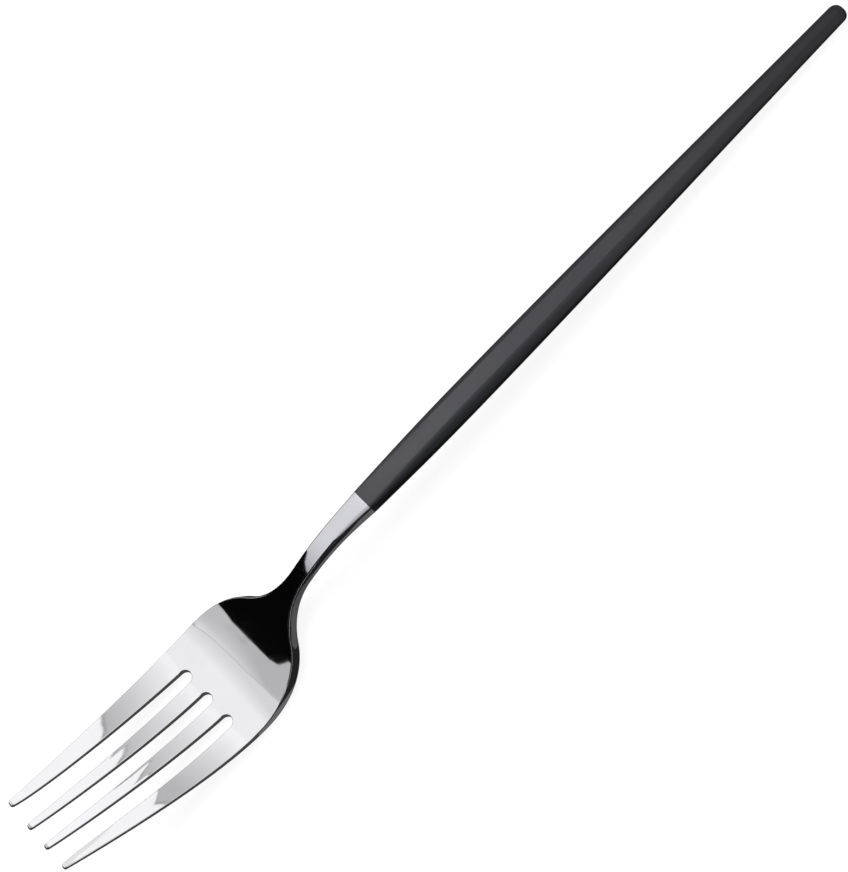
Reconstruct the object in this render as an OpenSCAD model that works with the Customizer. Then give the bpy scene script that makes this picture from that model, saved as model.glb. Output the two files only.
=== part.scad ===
// Dinner fork: a forged and polished steel head with four tines, whose tang
// is bonded into a slim black moulded handle. The fork lies at rest, on the
// heel of its bowl and the end of its handle. Sizes are in millimetres.

/* [Head] */
// From the joint with the handle to the roots of the slots
root_d = 47; // [40:0.1:60]
// Length of the tines, from the slot roots to the tips
tine_len = 40.4; // [30:0.1:50]
// Width across the bowl, at its widest
head_w = 25.7; // [22:0.1:32]
// Depth of the bowl below the line of the handle
bowl_drop = 11.4; // [6:0.1:16]
// Height of the tips above the bottom of the bowl
tip_lift = 12.1; // [6:0.1:18]
// Height of the bowl's edges above its middle
dish = 0.65; // [0:0.05:2]
// Height that the outer tips gain over the inner ones along the tines
tip_splay = 0.4; // [0:0.05:1.5]

/* [Tines] */
// Width of the slots at their roots
slot_w = 2.7; // [2:0.05:3.2]
// Width of the two inner tines at their roots
inner_tine_w = 3.6; // [2.5:0.05:4.2]
// Width of every tine at its tip
tip_w = 1; // [0.7:0.05:1.5]
// Distance across the outer edges of the outer tips
tip_span = 17.9; // [15:0.1:22]
// Distance between the middles of the two inner tips
tip_pitch = 5.3; // [4.5:0.05:6]
// Length of the rounding at each tip
tip_round = 0.5; // [0.3:0.05:1]

/* [Thickness] */
// Thickness at the tips
tip_t = 1; // [0.8:0.05:1.5]
// Thickness at the slot roots
root_t = 1.6; // [1.2:0.05:2.4]
// Thickness at the shoulders and through the neck
neck_t = 2.95; // [2.2:0.05:4]
// Rounding along the edges of the tines and the bowl
edge_r = 0.3; // [0.15:0.05:0.45]
// Rounding along the edges of the neck
neck_r = 0.8; // [0.4:0.05:1.2]

/* [Neck] */
// Width of the neck where it is narrowest
neck_w = 3.6; // [3:0.05:5]
// Width of the neck and the handle where they meet
joint_w = 5; // [4.4:0.05:7]
// Thickness of the neck and the handle where they meet
joint_t = 3.6; // [3.2:0.05:5]

/* [Handle] */
// Length of the handle
handle_len = 127.9; // [100:0.1:150]
// Width of the handle where it is widest
handle_w = 6.7; // [5.5:0.05:9]
// Thickness of the handle where it is thickest
handle_t = 5; // [4.2:0.05:7]
// Distance from the joint to the widest place
belly_x = 25; // [15:0.1:40]
// Width of the handle just before its end
end_w = 4; // [3:0.05:6]
// Thickness of the handle just before its end
end_t = 3.2; // [2.5:0.05:5]
// Rounding along the edges of the handle at its belly
handle_r = 1.8; // [1:0.05:2.4]
// Rounding of the handle's end
end_r = 1.6; // [0.8:0.05:2.5]
// How far the middle of the handle arches upwards
handle_bow = 0.15; // [0:0.05:2]

/* [Tang and bond] */
// Length of the tang inside the handle
tang_len = 56; // [30:0.5:80]
// Width of the tang at the neck
tang_w = 2.8; // [2:0.05:3.2]
// Thickness of the tang at the neck
tang_t = 1.9; // [1.4:0.05:2.2]
// Width of the tang at its end
tang_end_w = 2; // [1.4:0.05:2.6]
// Thickness of the tang at its end
tang_end_t = 1.4; // [1:0.05:1.8]
// Depth of the notches that key the tang to its bond
notch_depth = 0.35; // [0.2:0.05:0.5]
// Length of each notch
notch_len = 2.4; // [1:0.1:4]
// Distance from one notch to the next
notch_pitch = 9; // [5:0.5:14]
// Thickness of the bond all round the tang
bond_gap = 0.2; // [0.1:0.05:0.35]
// Depth of the bond past the end of the tang
bond_end = 1.5; // [0.5:0.1:4]

/* [Hidden] */

// Segments in a rounding at an outer edge, at a slot edge, at a slot root and at a tip
EDGE_N = 4;
SLOT_N = 2;
ROOT_N = 5;
TIP_N = 3;
// Columns across the flat of each tine, and stations along each stretch
FLAT_N = 2;
TINE_N = 14;
BOWL_N = 9;
FLARE_N = 13;
NECK_N = 9;
BELLY_N = 9;
GRIP_N = 12;
NOTCHES = 4;

// How far a cutting or joining solid runs past the face that it meets
over = 0.5;

// The lowest and the narrowest place of the head, as shares of the way to the slot roots
heel_share = 0.935;
narrow_share = 0.39;

// Where the straight part of the neck ends, as a share of the way to the slot roots
neck_start_share = 0.11;
// Where the spine bends: above the neck and under the heel, as shares of the way to the
// slot roots, then along the tines, as a share of the way from the heel to the tips
neck_bend_share = 0.3;
heel_bend_share = 0.768;
tine_bend_share = 0.35;
// Where the throat turns from one bend into the next
throat_share = 0.46;

// Where the outline bends, as the same kinds of shares: along the neck, into the flare,
// at the shoulder and along the sides
neck_side_share = 0.17;
flare_bend_share = 0.528;
shoulder_bend_share = 0.69;
side_bend_share = 0.29;
// Where the flare turns from one bend into the next
flare_share = 0.46;

// Where the plate starts to thin, and between where its edges turn from soft to crisp
shoulder_share = 0.72;
soft_share = 0.5;
crisp_share = 0.85;
// Where the bowl starts to dish and where it is fully dished
dish_start_share = 0.3;
dish_full_share = 0.8;

// How fast the tines narrow, and how far a rounding may take up a wall
taper_share = 0.65;
tip_size_share = 0.5;
wall_share = 0.48;
outer_round_share = 0.6;
slot_round_share = 0.3;

// Distances from the joint towards the tips
tip_d = root_d + tine_len;
heel_d = heel_share * root_d;
narrow_d = narrow_share * root_d;
neck_start_d = neck_start_share * root_d;
neck_bend_d = neck_bend_share * root_d;
heel_bend_d = heel_bend_share * root_d;
tine_bend_d = mix(heel_d, tip_d, tine_bend_share);
neck_side_d = neck_side_share * root_d;
flare_bend_d = flare_bend_share * root_d;
shoulder_bend_d = shoulder_bend_share * root_d;
side_bend_d = mix(heel_d, tip_d, side_bend_share);
shoulder_d = shoulder_share * root_d;
soft_d = soft_share * root_d;
crisp_d = crisp_share * root_d;
dish_start_d = dish_start_share * root_d;
dish_full_d = dish_full_share * root_d;

head_half = head_w / 2;
outer_tine_w = (head_w - 3 * slot_w - 2 * inner_tine_w) / 2;
slot_centre_share = (slot_w + inner_tine_w) / (head_half - edge_r);
root_r = slot_w / 2;

function mix(a, b, s) = a + (b - a) * s;
function clamp01(s) = max(0, min(1, s));
function ease(a, b, s) = let (q = clamp01(s)) mix(a, b, q * q * (3 - 2 * q));

// Height of a curve at x. The curve leaves point a towards b and reaches c from b.
function bend(a, b, c, x) =
    let (
        p = a[0] - 2 * b[0] + c[0],
        q = b[0] - a[0],
        k = x - a[0],
        t = k / (q + sqrt(max(0, q * q + p * k)))
    )
    (1 - t) * (1 - t) * a[1] + 2 * t * (1 - t) * b[1] + t * t * c[1];

// The spine, in side view: its height at distance d from the joint
neck_start = [neck_start_d, 0];
neck_bend = [neck_bend_d, 0];
heel_bend = [heel_bend_d, -bowl_drop];
throat = mix(neck_bend, heel_bend, throat_share);
heel = [heel_d, -bowl_drop];
tine_bend = [tine_bend_d, -bowl_drop];
tip = [tip_d, tip_lift - bowl_drop];
function spine_z(d) =
    d < neck_start_d ? 0
    : d < throat[0] ? bend(neck_start, neck_bend, throat, d)
    : d < heel_d ? bend(throat, heel_bend, heel, d)
    : bend(heel, tine_bend, tip, d);
function spine_slope(d) =
    let (e = tip_round / 2, a = max(0, d - e), b = min(tip_d, d + e))
    d <= 0 ? 0 : (spine_z(b) - spine_z(a)) / (b - a);

// The outline, in plan: half its width at distance d from the joint
flare_bend = [flare_bend_d, neck_w / 2];
shoulder_bend = [shoulder_bend_d, head_half];
flare = mix(flare_bend, shoulder_bend, flare_share);
function half_w(d) =
    d < narrow_d ? bend([0, joint_w / 2], [neck_side_d, neck_w / 2], [narrow_d, neck_w / 2], d)
    : d < flare[0] ? bend([narrow_d, neck_w / 2], flare_bend, flare, d)
    : d < heel_d ? bend(flare, shoulder_bend, [heel_d, head_half], d)
    : bend([heel_d, head_half], [side_bend_d, head_half], [tip_d, tip_span / 2], d);

function thick(d) =
    d < narrow_d ? ease(joint_t, neck_t, d / narrow_d)
    : d < root_d ? ease(neck_t, root_t, (d - shoulder_d) / (root_d - shoulder_d))
    : mix(root_t, tip_t, (d - root_d) / tine_len);
function edge_round(d) = ease(neck_r, edge_r, (d - soft_d) / (crisp_d - soft_d));
// How far the surface stands above the spine at y across it
function dish_at(d, y) =
    let (
        bowl = ease(0, dish, (d - dish_start_d) / (dish_full_d - dish_start_d)),
        splay = tip_splay * clamp01((d - root_d) / tine_len)
    )
    (bowl + splay) * pow(y / half_w(d), 2);

// Width of a tine, given its width at the root
function tine_w(root_w, d) =
    mix(tip_w, root_w, pow(clamp01((tip_d - d) / tine_len), taper_share));

// How open a slot is at d: nothing at its root, and all past its round end
function slot_open(d) =
    let (s = clamp01((d - root_d) / root_r)) sqrt(max(0, 1 - (1 - s) * (1 - s)));

// The places across the fork where each tine begins and ends, at distance d.
// Behind the slot roots the tines are one plate, and these places only divide it.
function tine_sides(d) =
    let (
        w = half_w(d),
        open = slot_open(d),
        inner_c = mix((slot_w + inner_tine_w) / 2, tip_pitch / 2, clamp01((d - root_d) / tine_len)),
        inner_half = tine_w(inner_tine_w, d) / 2,
        mid_gap = (inner_c - inner_half) * open,
        side_a = inner_c + inner_half,
        side_b = w - tine_w(outer_tine_w, d),
        side_c = d > root_d ? (side_a + side_b) / 2 : (w - edge_round(d)) * slot_centre_share,
        side_gap = (side_b - side_a) / 2 * open
    )
    [
        [w, side_c + side_gap],
        [side_c - side_gap, mid_gap],
        [-mid_gap, -side_c + side_gap],
        [-side_c - side_gap, -w]
    ];

// Inset and depth of the steps of a rounding, from the wall to the flat
function round_steps(r, n) = [for (i = [0:n]) [r * (1 - cos(90 * i / n)), r * (1 - sin(90 * i / n))]];

// The columns across one tine at d, far side first: place across, and depth below the face
function columns(side, d, far_outer, near_outer) =
    let (
        span = side[0] - side[1],
        wall = wall_share * thick(d),
        open = slot_open(d),
        far_r = min(far_outer ? edge_round(d) : edge_r, wall,
            (far_outer ? outer_round_share : slot_round_share) * span),
        near_r = min(near_outer ? edge_round(d) : edge_r, wall,
            (near_outer ? outer_round_share : slot_round_share) * span),
        far_steps = round_steps(far_r, far_outer ? EDGE_N : SLOT_N),
        near_steps = round_steps(near_r, near_outer ? EDGE_N : SLOT_N),
        a = side[0] - far_r,
        b = side[1] + near_r
    )
    [
        for (s = far_steps) [side[0] - s[0], s[1] * (far_outer ? 1 : open)],
        for (i = [1:FLAT_N - 1]) [mix(a, b, i / FLAT_N), 0],
        for (i = [len(near_steps) - 1:-1:0])
            [side[1] + near_steps[i][0], near_steps[i][1] * (near_outer ? 1 : open)]
    ];

// A point of the head: across by y and away from the spine by h, square to the spine.
// Size shrinks a tine about its own middle, for its rounded tip.
function head_point(d, y, h) =
    let (
        m = spine_slope(d),
        n = 1 / sqrt(1 + m * m),
        lift = h + dish_at(d, y)
    )
    [-d + m * n * lift, y, spine_z(d) + n * lift];

// Top row and bottom row of points across one tine at a station [distance, size]
function tine_ring(station, k) =
    let (
        d = station[0],
        size = station[1],
        side = tine_sides(d)[k],
        mid = (side[0] + side[1]) / 2,
        cols = columns(side, d, k == 0, k == 3),
        half_t = thick(d) / 2
    )
    [
        for (c = cols) head_point(d, mix(mid, c[0], size), (half_t - c[1]) * size),
        for (c = cols) head_point(d, mix(mid, c[0], size), (c[1] - half_t) * size)
    ];

// Stations from the tips to the joint: distance, and size for the rounded tips
tine_start_d = tip_d - tip_round;
arc_d = root_d + root_r;
stations = [
    for (i = [0:TIP_N - 1])
        let (a = 90 * i / TIP_N) [tip_d - tip_round * (1 - cos(a)), mix(tip_size_share, 1, sin(a))],
    for (i = [0:TINE_N]) [mix(tine_start_d, arc_d, i / TINE_N), 1],
    for (i = [1:ROOT_N]) [root_d + root_r * (1 - sin(90 * i / ROOT_N)), 1],
    for (i = [1:BOWL_N]) [mix(root_d, shoulder_bend_d, i / BOWL_N), 1],
    for (i = [1:FLARE_N]) [mix(shoulder_bend_d, narrow_d, i / FLARE_N), 1],
    for (i = [1:NECK_N]) [mix(narrow_d, 0, i / NECK_N), 1]
];
ROOT_ROW = TIP_N + TINE_N + ROOT_N;

// Number of columns across each tine, and where its points start in a row
OUTER_N = EDGE_N + FLAT_N + SLOT_N + 1;
INNER_N = 2 * SLOT_N + FLAT_N + 1;
counts = [OUTER_N, INNER_N, INNER_N, OUTER_N];
starts = [0, 2 * OUTER_N, 2 * (OUTER_N + INNER_N), 2 * (OUTER_N + 2 * INNER_N)];
ROW = 4 * (OUTER_N + INNER_N);
LAST = len(stations) - 1;

head_points = [for (s = stations) for (k = [0:3]) each tine_ring(s, k)];

function top(i, k, j) = i * ROW + starts[k] + j;
function under(i, k, j) = top(i, k, j) + counts[k];
function quad(a, b, c, d) = [[a, b, c], [a, c, d]];

head_faces = [
    for (i = [0:LAST - 1]) for (k = [0:3]) for (j = [0:counts[k] - 2])
        each quad(top(i, k, j), top(i + 1, k, j), top(i + 1, k, j + 1), top(i, k, j + 1)),
    for (i = [0:LAST - 1]) for (k = [0:3]) for (j = [0:counts[k] - 2])
        each quad(under(i, k, j), under(i, k, j + 1), under(i + 1, k, j + 1), under(i + 1, k, j)),
    for (i = [0:LAST - 1]) for (k = [0:3]) if (k == 0 || i < ROOT_ROW)
        each quad(top(i, k, 0), under(i, k, 0), under(i + 1, k, 0), top(i + 1, k, 0)),
    for (i = [0:LAST - 1]) for (k = [0:3]) if (k == 3 || i < ROOT_ROW)
        let (e = counts[k] - 1)
        each quad(top(i, k, e), top(i + 1, k, e), under(i + 1, k, e), under(i, k, e)),
    for (k = [0:3]) for (j = [0:counts[k] - 2])
        each quad(top(0, k, j), top(0, k, j + 1), under(0, k, j + 1), under(0, k, j)),
    for (k = [0:3]) for (j = [0:counts[k] - 2])
        each quad(top(LAST, k, j), under(LAST, k, j), under(LAST, k, j + 1), top(LAST, k, j + 1))
];

// The handle's half width, half thickness and rounding at x along it from the joint
function handle_size(x) =
    x < belly_x
    ? let (s = sin(90 * x / belly_x))
        [mix(joint_w, handle_w, s) / 2, mix(joint_t, handle_t, s) / 2, mix(neck_r, handle_r, s)]
    : let (s = (x - belly_x) / (handle_len - belly_x), q = s * s * (2 - s))
        [mix(handle_w, end_w, q) / 2, mix(handle_t, end_t, q) / 2, mix(handle_r, end_t * wall_share, q)];
function bow_z(x) = 4 * handle_bow * (x / handle_len) * (1 - x / handle_len);

// Stations along the handle: distance, and size for the rounded end
handle_stations = [
    for (i = [0:BELLY_N - 1]) [belly_x * i / BELLY_N, 1],
    for (i = [0:GRIP_N]) [mix(belly_x, handle_len - end_r, i / GRIP_N), 1],
    for (i = [1:EDGE_N])
        let (a = 90 * i / EDGE_N) [handle_len - end_r * (1 - sin(a)), cos(a)]
];

// One ring of the handle, round its four corners
function handle_ring(station) =
    let (
        x = station[0],
        size = handle_size(x),
        inset = end_r * (1 - station[1]),
        w = size[0] - inset,
        t = size[1] - inset * size[1] / size[0],
        r = min(size[2], wall_share * 2 * t, wall_share * 2 * w)
    )
    [
        for (q = [0:3]) for (i = [0:EDGE_N])
            let (
                a = 90 * (q + i / EDGE_N),
                sy = q == 0 || q == 3 ? 1 : -1,
                sz = q < 2 ? 1 : -1
            )
            [x, sy * (w - r) + r * cos(a), bow_z(x) + sz * (t - r) + r * sin(a)]
    ];
RING = 4 * (EDGE_N + 1);
H_LAST = len(handle_stations) - 1;
handle_points = [for (s = handle_stations) each handle_ring(s)];
handle_faces = [
    for (i = [0:H_LAST - 1]) for (j = [0:RING - 1])
        let (n = (j + 1) % RING)
        each quad(i * RING + j, (i + 1) * RING + j, (i + 1) * RING + n, i * RING + n),
    [for (j = [0:RING - 1]) j],
    [for (j = [RING - 1:-1:0]) H_LAST * RING + j]
];

// The fork rests on the heel of the bowl and the end of the handle
under_end = [handle_len - end_r, -end_t / 2];
heel_points = [for (s = stations) let (d = s[0]) [-d, spine_z(d) - thick(d) / 2]];
rest_tilt = max([for (p = heel_points) atan2(under_end[1] - p[1], under_end[0] - p[0])]);
rested = [
    for (p = concat(head_points, handle_points))
        [p[0] * cos(rest_tilt) + p[2] * sin(rest_tilt), p[2] * cos(rest_tilt) - p[0] * sin(rest_tilt)]
];
low_x = min([for (p = rested) p[0]]);
high_x = max([for (p = rested) p[0]]);
low_z = min([for (p = rested) p[1]]);

// Puts the fork at rest, with the middle of its base at the origin
module at_rest() {
    translate([-(low_x + high_x) / 2, 0, -low_z])
        rotate([0, rest_tilt, 0])
            children();
}

// A bar that tapers from the joint to its far end, grown all round by extra
module taper_bar(length, extra, back) {
    slope_w = (tang_end_w - tang_w) / 2 / tang_len;
    slope_t = (tang_end_t - tang_t) / 2 / tang_len;
    w = tang_w / 2 + extra;
    t = tang_t / 2 + extra;
    intersection() {
        translate([0, 0, -joint_t / 2])
            linear_extrude(joint_t)
                polygon([
                    [-back, -w + slope_w * back],
                    [length, -w - slope_w * length],
                    [length, w + slope_w * length],
                    [-back, w - slope_w * back]
                ]);
        translate([0, joint_w / 2, 0])
            rotate([90, 0, 0])
                linear_extrude(joint_w)
                    polygon([
                        [-back, -t + slope_t * back],
                        [length, -t - slope_t * length],
                        [length, t + slope_t * length],
                        [-back, t - slope_t * back]
                    ]);
    }
}

// The tang, with notches in both of its narrow sides
module tang(back) {
    difference() {
        taper_bar(tang_len, 0, back);
        for (i = [1:NOTCHES], side = [-1, 1]) {
            x = tang_len - i * notch_pitch;
            w = mix(tang_w, tang_end_w, x / tang_len) / 2 - notch_depth;
            translate([x - notch_len / 2, side > 0 ? w : -w - tang_w, -tang_t])
                cube([notch_len, tang_w, 2 * tang_t]);
        }
    }
}

// The hole in the handle that takes the tang and its bond
module socket(back) {
    taper_bar(tang_len + bond_end, bond_gap, back);
}

module fork_head() {
    color("silver")
        at_rest()
            union() {
                polyhedron(head_points, head_faces, convexity = 8);
                tang(over);
            }
}

module handle() {
    color("#1c1c1f")
        at_rest()
            difference() {
                polyhedron(handle_points, handle_faces, convexity = 4);
                socket(over);
            }
}

module bond() {
    color("wheat")
        at_rest()
            difference() {
                socket(0);
                tang(over);
            }
}

fork_head();
handle();
bond();
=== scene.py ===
# A dinner fork at rest on a pale floor: a mirror-polished steel head with four tines, and a
# slim satin black handle that is bonded over its tang. Sizes are in millimetres, as in the
# CAD model, up to the points of a mesh, which are in metres in the row frame.
import math
import bmesh
import bpy
from mathutils import Matrix, Vector


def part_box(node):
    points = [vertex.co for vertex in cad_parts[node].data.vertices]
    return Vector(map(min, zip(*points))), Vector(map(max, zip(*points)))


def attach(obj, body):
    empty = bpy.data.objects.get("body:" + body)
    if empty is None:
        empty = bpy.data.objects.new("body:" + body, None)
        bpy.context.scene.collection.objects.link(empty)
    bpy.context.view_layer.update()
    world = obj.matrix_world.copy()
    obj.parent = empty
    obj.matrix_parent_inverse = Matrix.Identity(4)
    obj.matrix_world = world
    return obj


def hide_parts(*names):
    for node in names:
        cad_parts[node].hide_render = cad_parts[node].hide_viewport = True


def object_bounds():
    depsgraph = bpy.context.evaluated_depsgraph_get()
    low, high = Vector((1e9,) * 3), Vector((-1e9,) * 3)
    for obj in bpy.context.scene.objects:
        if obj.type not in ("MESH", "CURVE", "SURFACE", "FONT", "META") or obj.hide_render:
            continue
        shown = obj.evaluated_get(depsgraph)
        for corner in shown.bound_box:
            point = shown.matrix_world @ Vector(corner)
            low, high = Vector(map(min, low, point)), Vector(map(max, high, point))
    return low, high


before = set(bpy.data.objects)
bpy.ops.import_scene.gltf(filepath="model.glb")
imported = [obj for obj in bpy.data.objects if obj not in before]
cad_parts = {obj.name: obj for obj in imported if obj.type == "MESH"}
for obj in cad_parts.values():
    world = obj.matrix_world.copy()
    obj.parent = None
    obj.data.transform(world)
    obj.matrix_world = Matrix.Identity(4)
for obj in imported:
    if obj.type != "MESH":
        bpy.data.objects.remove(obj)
cad_low, cad_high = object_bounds()

MM = 0.001

# Head: lengths from the joint with the handle, widths, and heights of the spine
ROOT_D = 47
TINE_LEN = 40.4
HEAD_W = 25.7
BOWL_DROP = 11.4
TIP_LIFT = 12.1
DISH = 0.65
TIP_SPLAY = 0.4

# Tines and the slots between them
SLOT_W = 2.7
INNER_TINE_W = 3.6
TIP_W = 1
TIP_SPAN = 17.9
TIP_PITCH = 5.3
TIP_ROUND = 0.5

# Thickness and edges
TIP_T = 1
ROOT_T = 1.6
NECK_T = 2.95
EDGE_R = 0.3
NECK_R = 0.8

# Neck, and where it meets the handle
NECK_W = 3.6
JOINT_W = 5
JOINT_T = 3.6

# Handle
HANDLE_LEN = 127.9
HANDLE_W = 6.7
HANDLE_T = 5
BELLY_X = 25
END_W = 4
END_T = 3.2
HANDLE_R = 1.8
END_R = 1.6
HANDLE_BOW = 0.15
SEAM_R = 0.06
GRIP_CROWN = 0.5

# Tang, which the bonded socket holds
TANG_LEN = 56
TANG_W = 2.8
TANG_T = 1.9
TANG_END_W = 2
TANG_END_T = 1.4
NOTCH_DEPTH = 0.35
NOTCH_LEN = 2.4
NOTCH_PITCH = 9
NOTCHES = 4

# Places along the head, as shares of the way to the slot roots or along the tines
HEEL_SHARE = 0.935
NARROW_SHARE = 0.39
NECK_START_SHARE = 0.11
NECK_BEND_SHARE = 0.3
HEEL_BEND_SHARE = 0.768
TINE_BEND_SHARE = 0.35
THROAT_SHARE = 0.46
NECK_SIDE_SHARE = 0.17
FLARE_BEND_SHARE = 0.528
SHOULDER_BEND_SHARE = 0.69
SIDE_BEND_SHARE = 0.29
FLARE_SHARE = 0.46
SHOULDER_SHARE = 0.72
SOFT_SHARE = 0.5
CRISP_SHARE = 0.85
DISH_START_SHARE = 0.4
DISH_FULL_SHARE = 0.8
TAPER_SHARE = 0.65
TIP_SIZE_SHARE = 0.5
WALL_SHARE = 0.48

# Steps of the head's mesh: round an edge, across a tine, round a slot root, along a tine,
# along the plate behind the slots, and round a tip
EDGE_STEPS = 6
FLAT_STEPS = 10
ROOT_STEPS = 14
TINE_STEPS = 90
PLATE_STEPS = 150
TIP_STEPS = 6

# Steps of the handle's mesh, along it and round it
GRIP_STEPS = 180
ROUND_STEPS = 64

# Points closer than this are one point, and an edge sharper than this stays an edge
WELD = 0.0005 * MM
SHARP_ANGLE = math.radians(24)

# The smallest length that counts, in millimetres, and the one for the handle's seams
TINY = 0.001
GRIP_WELD = SEAM_R / 50

# How far an edge curves up from its wall before it meets the flat, on the bowl and at the
# joint, how far from the joint the neck's edges are as crisp, and their radius at the joint
EDGE_ARC = math.radians(55)
FULL_ARC = math.radians(90)
CRISP_D = 13
JOINT_R = 0.85

# How much the middle of a tine swells above its edges, and how far from its root and its tip
# it grows, and how much the buffed tip has lost
TINE_CROWN = 0.04
CROWN_LEN = 6
TIP_LOSS = 0.06

# The hollow that polishing left on top of the throat: its depth, where it starts, the length
# over which it deepens, and how many times that length it takes to run out
DIP = 0.16
DIP_START = 12.5
DIP_LEN = 7.5
DIP_RUN_OUT = 3

# Where the steel's tone and finish change: how far past the narrowest place, seen from the handle,
# the neck is darkened by painted shade, the length over which it turns so, how much nearer to
# the handle the brushing starts and is full, and the lengths of a tip's grey end, which is
# painted shade too, and of its fade
NECK_SHADE_PAST = 3
NECK_SHADE_EASE = 4
BRUSH_START = 7
BRUSH_FULL = 20
GREY_TIP = 1.1
GREY_EASE = 0.5

# Grain of the finishes, in metres: length and width of a hairline, haze, moulded grain,
# rubbed places and bubbles. Real hairlines and real grain are a few hundredths of a
# millimetre wide, too fine to show, so both are drawn as coarse as they need to be seen
HAIR_LEN = 9 * MM
HAIR_W = 0.2 * MM
HAZE = 7 * MM
GRAIN = 0.3 * MM
RUB = 12 * MM
BUBBLE = 0.8 * MM

# The studio: how white the floor shows, how strongly the sky lights, and half the floor's
# width in metres
FLOOR_GLOW = 0.9
SKY_LEVEL = 0.3
FLOOR_HALF = 3

# The lamp: its place, its width and height, and its power in watts
LAMP_PLACE = (-60, 120, 450)
LAMP_SIZE = 320
LAMP_POWER = 2.2

# Heights of the cards over the whole fork, over the handle and over the neck, and how far the
# first reach to each side. A seam card and the front card hang a little below the rest, so
# that they are seen in front of them
CARD_HEIGHT = 600
GRIP_CARD_HEIGHT = 80
NECK_CARD_HEIGHT = 30
CARD_REACH = 1500
SEAM_DROP = 2
FRONT_DROP = 4

# Where those cards begin across the fork, as y, and the width of a seam card
CARD_START = -250
SEAM_W = 7

# Edges of those cards, which the steel shows as lines: where grey meets white on the tines,
# where the throat turns black, the fine line across the bowl, and the dark in front
TINE_EDGE = [
    (262, CARD_START), (260, 40), (249, 75), (236, 105), (231, 128), (231, 158), (225, 185),
    (215, 230), (211, 280), (213, 290), (235, 298), (229, 320), (222, 358), (213, 378),
    (202, 395), (205, 408), (237, 430), (262, 465), (277, 518), (257, 548), (225, 590),
    (190, 620)]
THROAT_EDGE = [
    (-563, CARD_START), (-558, 235), (-537, 270), (-545, 330), (-566, 390), (-583, 430),
    (-627, 481), (-767, 577), (-813, 620), (-848, 800), (-848, CARD_REACH)]
SEAM_EDGE = [
    (-400, CARD_START), (-415, 200), (-440, 225), (-455, 283), (-475, 354), (-510, 412),
    (-535, 450), (-560, 485), (-660, 600), (-800, CARD_REACH)]
FRONT_EDGE = [
    (-CARD_REACH, -CARD_REACH), (-150, -CARD_REACH), (-150, -715), (900, -715), (900, -400),
    (340, -180), (320, -150), (150, -100), (0, 0), (-250, 0), (-330, 80), (-420, 200),
    (-600, 205), (-CARD_REACH, 205)]

# Outlines of smaller cards: the end of the grey on the neck as x and y, the blind beside the
# neck as y and z with its place along x, and the painted shade on the floor at the flare as x and y
NECK_END = [
    (-46.5, 11.8), (-51.8, 11.95), (-55, 11.1), (-64, 10.5), (-64, 24), (-46.5, 24)]
NECK_BLIND = [(-8, 10), (-8, 80), (-70, 80), (-70, 26), (-32, 26), (-32, 10)]
NECK_BLIND_X = -19
FLARE_FLOOR = [
    (-38, -4), (-45.5, -5), (-44.5, -10.6), (-41.4, -10.6), (-41.8, -8.6), (-41.2, -7.6),
    (-40.2, -6.2), (-38, -6.2)]

# The painted shade on the floor under the neck, a grey card, ends where the near wall mirrors the
# floor. Its edge is worked out in steps, and stands off by this many times the wall's own distance
# at the joint and at the shoulder, from where on the latter holds, and over what length either
# comes in
FOOT_STEPS = 40
JOINT_STRETCH = 0.8
SHOULDER_STRETCH = 2.2
STRETCH_D = 34
STRETCH_LEN = 9
SLOPE_STEP = 0.1
NECK_FLOOR_CORNER = (-64, 18)

# The light of each card, where 1 is the white of the floor: its strength at one place and at
# another, and the two places along x, or along y where it says so. A plain card has the same
# strength at both
CARD_LIGHTS = {
    "black_card": (0.002, 0.002, 0, 1),
    "dark_card": (0.02, 0.02, 0, 1),
    # Painted shade: the four floor greys below, and the dark card where it lies on the floor, stand
    # for the shade on the floor round the fork as the steel mirrors it
    "neck_floor_shade": (0.17, 0.17, 0, 1),
    "flare_floor_shade": (0.11, 0.11, 0, 1),
    "tine_floor_shade": (0.07, 0.07, 0, 1),
    "back_floor_shade": (0.25, 0.25, 0, 1),
    "tine_fade_grey": (1.19, 0.62, 30, 225),
    "white_card": (1.22, 1.22, 0, 1),
    "bowl_fade_grey": (0.88, 1.12, -440, -250),
    "throat_fade_grey": (0.6, 0.94, -555, -450),
    "neck_fade_grey": (0.08, 0.92, -80, 3, "Y"),
    "seam_grey": (0.45, 0.45, 0, 1),
    "faint_seam_grey": (0.66, 0.66, 0, 1),
    "joint_sheen": (7.5, 1.85, -15, 15),
    "joint_edge_sheen": (3.8, 1.25, -15, 15),
    "belly_sheen": (1.65, 1.9, 15, 75),
    "belly_edge_sheen": (1.05, 1.05, 15, 75),
    "grip_sheen": (1.85, 0.3, 75, 135),
    "grip_edge_sheen": (1.05, 0.2, 75, 135),
}

# The photograph's view, in degrees and millimetres
VIEW_ELEVATION = 65
VIEW_ROLL = 45.9245
VIEW_DISTANCE = 494.8
VIEW_TARGET = (16.49, 0, 1.43)
VIEW_LENS = 110

# Sizes that follow from those above
TIP_D = ROOT_D + TINE_LEN
HEAD_HALF = HEAD_W / 2
ROOT_R = SLOT_W / 2
OUTER_TINE_W = (HEAD_W - 3 * SLOT_W - 2 * INNER_TINE_W) / 2
SLOT_PITCH = SLOT_W + INNER_TINE_W
HEEL_D = HEEL_SHARE * ROOT_D
NARROW_D = NARROW_SHARE * ROOT_D


def mix(a, b, share):
    return a + (b - a) * share


def mix_points(a, b, share):
    return (mix(a[0], b[0], share), mix(a[1], b[1], share))


def clamp01(share):
    return max(0.0, min(1.0, share))


def ease(a, b, share):
    q = clamp01(share)
    return mix(a, b, q * q * (3 - 2 * q))


def bend(a, b, c, x):
    """Height at x of a curve that leaves point a towards b and reaches c from b."""
    p = a[0] - 2 * b[0] + c[0]
    q = b[0] - a[0]
    k = x - a[0]
    t = k / (q + math.sqrt(max(0.0, q * q + p * k)))
    return (1 - t) ** 2 * a[1] + 2 * t * (1 - t) * b[1] + t * t * c[1]


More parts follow.
